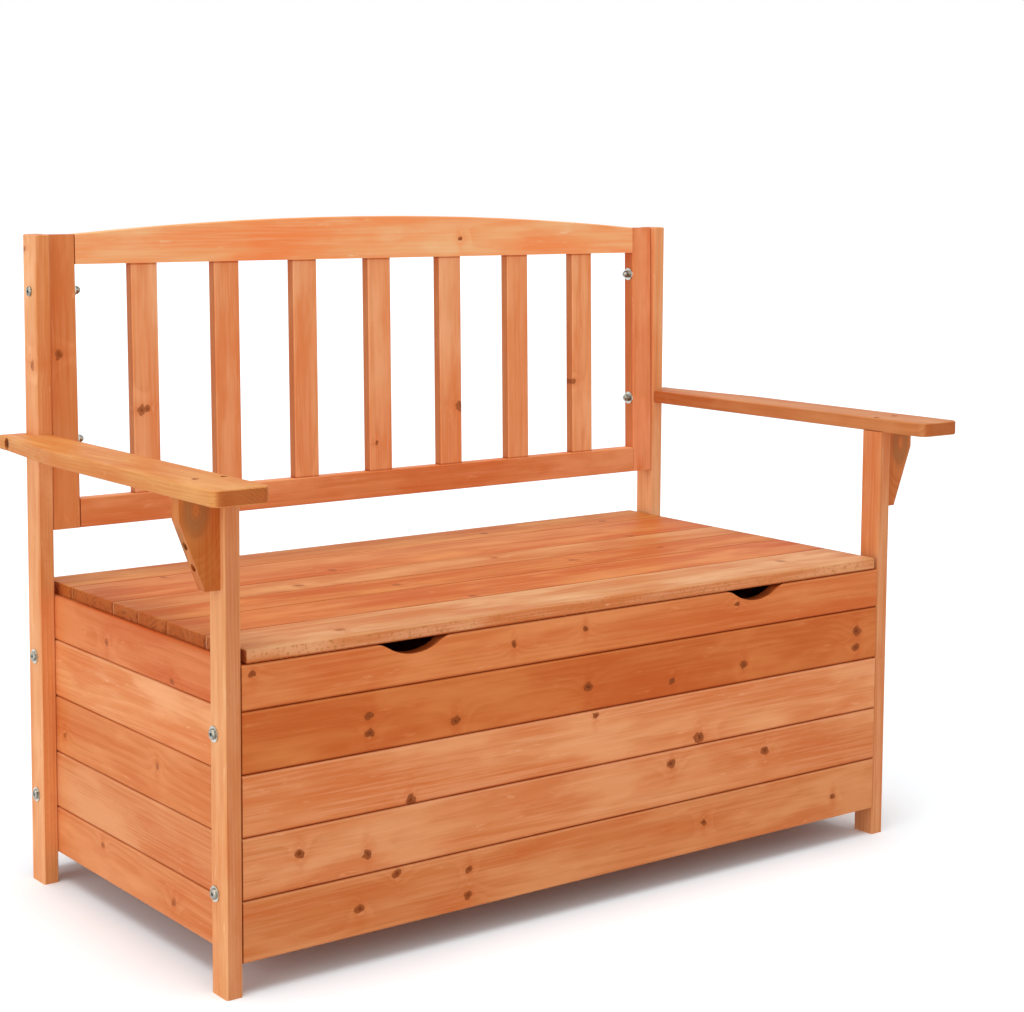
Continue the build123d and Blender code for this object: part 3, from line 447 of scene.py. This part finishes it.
# front boards, bottom to top: grain along the seat, knots at their height on the face
frontBoards = {
    1: {"tint": (0.87, 0.77, 0.73), "bleach": 0.315, "knots": [
        (-0.292, 0.099, 0.0056), (-0.343, 0.068, 0.0058), (-0.189, 0.084, 0.0046), (-0.191, 0.053, 0.0060),
        (0.183, 0.074, 0.0044), (0.416, 0.067, 0.0048)]},
    2: {"tint": (0.94, 0.87, 0.92), "bleach": 0.350, "knots": [
        (-0.421, 0.147, 0.0052), (-0.332, 0.129, 0.0068), (0.126, 0.159, 0.0062), (0.288, 0.150, 0.0062)]},
    3: {"tint": (0.98, 0.91, 0.97), "bleach": 0.420, "knots": [
        (-0.273, 0.182, 0.0068), (0.172, 0.186, 0.0084), (0.001, 0.240, 0.0046)]},
    4: {"tint": (0.80, 0.54, 0.35), "bleach": 0.210, "patch": 0.5, "knots": [
        (-0.329, 0.288, 0.0058), (-0.329, 0.268, 0.0058), (-0.209, 0.265, 0.0062), (-0.011, 0.277, 0.0064),
        (0.125, 0.265, 0.0050), (0.247, 0.269, 0.0060), (0.455, 0.288, 0.0078), (0.455, 0.266, 0.0064)]},
    # board 5's upward and downward faces, the grip's shoulders among them, darkened as painted shade
    5: {"tint": (0.90, 0.68, 0.55), "patch": 0.5, "side": ("Z", (0.55, 0.40, 0.30)), "knots": [
        (-0.125, 0.344, 0.0043), (-0.017, 0.350, 0.0040), (0.235, 0.350, 0.0040), (-0.480, 0.357, 0.0047)]},
}
frontSeams = (0.0200, 0.1065, 0.1765, 0.2465, 0.3165, 0.3682)
for number, look in frontBoards.items():
    edges = frontSeams[number - 1:number + 1]
    dressBoard(f"front_board_{number}", {"grain": "xzy", "away": 1.0, "seed": 10 + number, "edges": edges, **look})

# side boards: grain runs front to back
sideBoards = {
    1: {"tint": (0.91, 0.79, 0.76), "knots": [(0.111, 0.081, 0.0044), (-0.070, 0.061, 0.0050)]},
    2: {"tint": (0.91, 0.85, 0.89)},
    3: {"tint": (0.89, 0.73, 0.63), "knots": [(-0.033, 0.213, 0.0044), (0.213, 0.196, 0.0044)]},
    4: {"tint": (1.04, 1.05, 1.15)},
    5: {"tint": (0.89, 0.65, 0.55), "knots": [(0.093, 0.335, 0.0050), (-0.070, 0.319, 0.0044)]},
}
sideSeams = (0.0200, 0.0980, 0.1695, 0.2410, 0.3125, 0.3900)
for hand, away, seed in (("left", 1.0, 20), ("right", -1.0, 30)):
    for number, look in sideBoards.items():
        edges = sideSeams[number - 1:number + 1]
        shared = {"grain": "yzx", "away": away, "seed": seed + number, "seam": 0.45, "knotDepth": 0.55}
        dressBoard(f"side_{hand}_board_{number}", {**shared, "edges": edges, **look})

# lid boards, front to back, the front one with its rough sawn edge, redder on its front face, with painted shade
# along that face's foot
lidShared = {"grain": "xyz", "away": -1.0, "streak": 1.0, "drift": 0.95, "clouds": 0.70, "lines": 0.14,
             "figure": 0.9, "ringWidth": 0.009, "seam": 0.7, "knotDepth": 0.6, "endGrain": 0.85, "sheen": 0.08}
lidBoards = {
    1: {"tint": (0.84, 0.98, 1.15), "bleach": 0.420, "side": ("Y", (1.12, 1.01, 1.02)), "sawn": 1.0, "under": 0.3690,
        "knots": [(0.365, -0.173, 0.0065), (-0.349, -0.198, 0.0057)]},
    2: {"tint": (0.79, 0.61, 0.43), "knots": [(-0.111, -0.126, 0.0057)]},
    3: {"tint": (0.77, 0.60, 0.40),
        "knots": [(-0.147, -0.014, 0.0057), (0.143, -0.007, 0.0057), (0.301, -0.002, 0.0051)]},
    4: {"tint": (0.81, 0.81, 0.75), "bleach": 0.350, "knots": [(-0.252, 0.051, 0.0065), (0.067, 0.067, 0.0051)]},
    5: {"tint": (0.81, 0.67, 0.48),
        "knots": [(-0.161, 0.115, 0.0072), (0.331, 0.097, 0.0065), (-0.363, 0.196, 0.0051)]},
    6: {"tint": (0.88, 0.80, 0.51), "bleach": 0.350, "knots": [(0.172, 0.230, 0.0057), (0.382, 0.219, 0.0057)]},
}
lidSeams = (-0.2500, -0.13675, -0.04675, 0.02525, 0.09025, 0.20325, 0.3000)
for number, look in lidBoards.items():
    edges = lidSeams[number - 1:number + 1]
    dressBoard(f"lid_board_{number}", {**lidShared, "seed": 40 + number, "edges": edges, **look})
print("box and lid boards stained")

# legs, armrests and their brackets; painted shade on the front faces of the left legs
posts = {
    "leg_front_left": {"grain": "zyx", "away": 1.0, "seed": 51, "tint": (1.04, 1.19, 1.38),
                       "side": ("Y", (0.84, 0.69, 0.66)), "sawn": 0.3},
    "leg_front_right": {"grain": "zyx", "away": -1.0, "seed": 52, "tint": (0.92, 0.94, 1.09)},
    "leg_rear_left": {"grain": "zyx", "away": 1.0, "seed": 53, "tint": (1.09, 1.28, 1.60),
                      "side": ("Y", (0.98, 0.86, 0.72)), "sawn": 0.3, "knotDepth": 0.6,
                      "knots": [(0.658, 0.249, 0.0060), (0.802, 0.266, 0.0045)]},
    "leg_rear_right": {"grain": "zyx", "away": -1.0, "seed": 54, "tint": (1.14, 1.36, 1.68)},
    "armrest_left": {"grain": "yxz", "away": -1.0, "seed": 55, "tint": (0.90, 0.95, 0.79),
                     "endGrain": 0.85, "endRings": 0.3},
    "armrest_right": {"grain": "yxz", "away": -1.0, "seed": 56, "tint": (0.72, 0.67, 0.62),
                      "endGrain": 0.80, "endRings": 0.3},
    "arm_bracket_left": {"grain": "zxy", "away": 1.0, "seed": 57, "tint": (0.74, 0.57, 0.34), "figure": 1.5,
                         "ringWidth": 0.0080, "oval": (0.525, 0.55), "pithWidth": -0.004, "swing": 0.0},
    "arm_bracket_right": {"grain": "zxy", "away": 1.0, "seed": 58, "tint": (0.81, 0.61, 0.45), "figure": 1.3,
                          "ringWidth": 0.0080, "oval": (0.520, 0.50), "pithWidth": 0.004, "swing": 0.0},
}
for nodeName, look in posts.items():
    dressBoard(nodeName, look)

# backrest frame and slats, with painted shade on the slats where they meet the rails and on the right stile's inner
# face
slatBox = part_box("back_slats")
slatTenon = 0.0085
slatJoints = (slatBox[0][2] + slatTenon, slatBox[1][2] - slatTenon)
backrest = {
    "back_top_rail": {"grain": "xzy", "seed": 61, "tint": (1.52, 1.50, 1.82), "knots": [(0.137, 0.807, 0.0039)]},
    "back_bottom_rail": {"grain": "xzy", "seed": 62, "tint": (1.04, 0.95, 1.00)},
    "back_stile_left": {"grain": "zxy", "seed": 63, "tint": (1.00, 0.90, 0.86), "knotDepth": 0.7,
                        "knots": [(0.671, -0.482, 0.0056)]},
    "back_stile_right": {"grain": "zxy", "seed": 64, "tint": (1.11, 0.98, 1.10),
                         "side": ("X", (0.72, 0.58, 0.46))},
    "back_slats": {"grain": "zxy", "seed": 65, "tint": (1.18, 1.29, 1.61), "width": 0.037,
                   "cell": {"axis": "x", "start": 0.0, "pitch": 0.12, "spread": 0.15},
                   "side": ("X", (0.62, 0.49, 0.38)), "scuff": 0.15, "knotDepth": 0.75, "joints": slatJoints,
                   "knots": [(0.594, -0.368, 0.0060), (0.596, -0.360, 0.0052), (0.570, 0.136, 0.0078),
                             (0.594, 0.344, 0.0040), (0.526, -0.008, 0.0024)]},
}
for nodeName, look in backrest.items():
    dressBoard(nodeName, {"away": 1.0, **look})


def boardCells(box, axis, count):
    # equal boards that fill one side of a box
    number = "xyz".index(axis)
    pitch = (box[1][number] - box[0][number]) / count
    return {"axis": axis, "start": box[0][number] + pitch / 2, "pitch": pitch}


# inside and back of the box
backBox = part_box("back_boards")
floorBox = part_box("floor_boards")
inner = {
    "back_boards": {"grain": "xzy", "away": -1.0, "seed": 71, "tint": (0.93, 0.78, 0.72),
                    "cell": boardCells(backBox, "z", 4)},
    "hinge_rail": {"grain": "xzy", "away": -1.0, "seed": 72, "tint": (0.93, 0.80, 0.76)},
    "corner_battens": {"grain": "zxy", "away": 1.0, "seed": 73, "tint": (0.92, 0.80, 0.78),
                       "cell": {"axis": "x", "start": 0.0, "pitch": 0.9}},
    "centre_battens": {"grain": "zxy", "away": 1.0, "seed": 74, "tint": (0.92, 0.78, 0.74)},
    "floor_bearers": {"grain": "yxz", "away": 1.0, "seed": 75, "tint": (0.92, 0.80, 0.78),
                      "cell": {"axis": "x", "start": 0.0, "pitch": 0.28}},
    "floor_boards": {"grain": "xyz", "away": -1.0, "seed": 76, "tint": (0.95, 0.82, 0.78),
                     "cell": boardCells(floorBox, "y", 6)},
    "lid_battens": {"grain": "yxz", "away": 1.0, "seed": 77, "tint": (0.90, 0.72, 0.66),
                    "cell": {"axis": "x", "start": 0.0, "pitch": 0.27}},
    "back_dowels": {"grain": "xzy", "away": 1.0, "seed": 78, "tint": (1.1, 1.3, 1.5)},
}
for nodeName, look in inner.items():
    dressBoard(nodeName, look)
print("frame, backrest and inside stained")

# zinc plated steel, from bright plate to dark sunk screws
steelLooks = {
    "plate": {"colour": (0.60, 0.60, 0.58), "dull": (0.36, 0.35, 0.32), "roughness": 0.16},
    "washer": {"colour": (0.66, 0.65, 0.60), "dull": (0.40, 0.38, 0.33), "roughness": 0.18},
    "head": {"colour": (0.42, 0.40, 0.34), "dull": (0.12, 0.11, 0.09), "roughness": 0.12},
    "screw": {"colour": (0.50, 0.49, 0.47), "dull": (0.30, 0.29, 0.27), "roughness": 0.22},
    "dark": {"colour": (0.10, 0.085, 0.07), "dull": (0.05, 0.04, 0.03), "roughness": 0.36},
}
steelFinish = {
    "cloud": (210.0, 3.0, 0.6),     # scale, detail and roughness
    "cloudSpan": (0.35, 0.75),
    "cloudRoughness": 0.20,
    "scratch": (900.0, 2.0, 0.7),
    "scratchRoughness": 0.12,
    "bumpStrength": 0.08,
    "bumpDistance": 0.0003,
}


def zincSteel(name, look):
    material, wire = newMaterial(name)
    place = wire.node("ShaderNodeTexCoord", None, None, "Object")
    cloud = noise(place, *steelFinish["cloud"])
    scratch = noise(place, *steelFinish["scratch"])
    colour = mixColour(ease(cloud, steelFinish["cloudSpan"]), look["colour"], look["dull"])
    rough = cloud * steelFinish["cloudRoughness"] + scratch * steelFinish["scratchRoughness"] + look["roughness"]
    relief = {"Height": scratch, "Strength": steelFinish["bumpStrength"], "Distance": steelFinish["bumpDistance"]}
    bump = scratch.node("ShaderNodeBump", None, relief)
    surface = colour.node(
        "ShaderNodeBsdfPrincipled",
        None,
        {"Base Color": colour, "Metallic": 1.0, "Roughness": rough, "Normal": bump},
    )
    closeMaterial(wire, surface)
    return material


steelNodes = {
    "plate": ["hinge_leaves_box", "hinge_leaves_lid", "hinge_pins", "stay_wall_brackets", "stay_lid_brackets",
              "stay_lower_left", "stay_lower_right", "stay_upper_left", "stay_upper_right"],
    "washer": ["washers"],
    "head": ["bolts", "cap_nuts"],
    "screw": ["hinge_screws", "lid_screws", "stay_screws"],
    "dark": ["arm_screws", "bracket_screws"],
}
for finish, nodeNames in steelNodes.items():
    steel = zincSteel("steel_" + finish, steelLooks[finish])
    for nodeName in nodeNames:
        dress(nodeName, steel)
print("metal dressed")

# floor, world and lamps: soft studio light, brighter from above and from the left, a weak fill in front
studio = {
    "floorSize": 60.0,
    "floorPaint": (0.86, 0.86, 0.86),
    "floorSeen": (1.04, 1.12, 1.16),   # what the camera sees, white in the open
    "worldStrength": 0.42,
    "lampDistance": 3.0,
    "lamps": {                         # strength, where it shines from, how soft
        "top_lamp": (1.75, (-0.10, -0.06, 0.99), 45.0),
        "front_lamp": (0.45, (-0.15, -0.96, 0.22), 100.0),
        "left_lamp": (1.20, (-0.96, -0.10, 0.18), 60.0),
    },
}


def seenRays(wire):
    # rays that show the background: to the camera, in gloss and through glass
    rays = wire.node("ShaderNodeLightPath", None, None, "Is Camera Ray")
    seen = rays.math("MAXIMUM", rays.output("Is Glossy Ray"))
    return seen.math("MAXIMUM", rays.output("Is Transmission Ray"))


bpy.ops.mesh.primitive_plane_add(size=studio["floorSize"], location=(0.0, 0.0, 0.0))
floor = bpy.context.object
floor.name = "studio_floor"
material, wire = newMaterial("studio_floor_paint")
paint = wire.node("ShaderNodeBsdfDiffuse", None, {"Color": (*studio["floorPaint"], 1.0)})
shown = wire.node("ShaderNodeBsdfDiffuse", None, {"Color": (*studio["floorSeen"], 1.0)})
closeMaterial(wire, wire.node("ShaderNodeMixShader", None, {0: seenRays(wire), 1: paint, 2: shown}))
floor.data.materials.append(material)

world = bpy.data.worlds.new("studio_world")
scene.world = world
world.use_nodes = True
world.node_tree.nodes.clear()
sky = Wire(world.node_tree)
strength = seenRays(sky) * (1.0 - studio["worldStrength"]) + studio["worldStrength"]
backdrop = sky.node("ShaderNodeBackground", None, {"Color": (1.0, 1.0, 1.0, 1.0), "Strength": strength})
sky.node("ShaderNodeOutputWorld", None, {"Surface": backdrop})

for lampName, (lampStrength, shinesFrom, spread) in studio["lamps"].items():
    bpy.ops.object.light_add(type="SUN", location=[studio["lampDistance"] * share for share in shinesFrom])
    lamp = bpy.context.object
    lamp.name = lampName
    lamp.data.energy = lampStrength
    lamp.data.angle = math.radians(spread)
    lamp.rotation_euler = Vector(shinesFrom).to_track_quat("Z", "Y").to_euler()

# camera: place, heading and lens of the photograph
shot = {
    "place": (-1.5964, -2.1454, 0.8832),
    "heading": 36.169,      # from +Y towards +X
    "tilt": 5.440,          # downwards
    "roll": -0.230,
    "focalPixels": 2083.9,
    "centrePixels": (467.4, 383.12),   # the photograph is cropped off its own middle
    "imagePixels": (1024, 1012),
    "sensor": 36.0,
    "clipEnd": 100.0,
}
heading, tilt, roll = (math.radians(shot[key]) for key in ("heading", "tilt", "roll"))
forward = Vector((math.sin(heading) * math.cos(tilt), math.cos(heading) * math.cos(tilt), -math.sin(tilt)))
level = Vector((math.cos(heading), -math.sin(heading), 0.0))
down = forward.cross(level)
right = level * math.cos(roll) + down * math.sin(roll)
up = level * math.sin(roll) - down * math.cos(roll)
bpy.ops.object.camera_add(location=shot["place"])
camera = bpy.context.object
camera.name = "studio_camera"
camera.rotation_euler = Matrix((right, up, -forward)).transposed().to_euler()
wide, tall = shot["imagePixels"]
camera.data.sensor_width = shot["sensor"]
camera.data.lens = shot["sensor"] * shot["focalPixels"] / wide
camera.data.shift_x = (wide / 2 - shot["centrePixels"][0]) / wide
camera.data.shift_y = (shot["centrePixels"][1] - tall / 2) / wide
camera.data.clip_end = shot["clipEnd"]
scene.camera = camera
print("light and camera set")
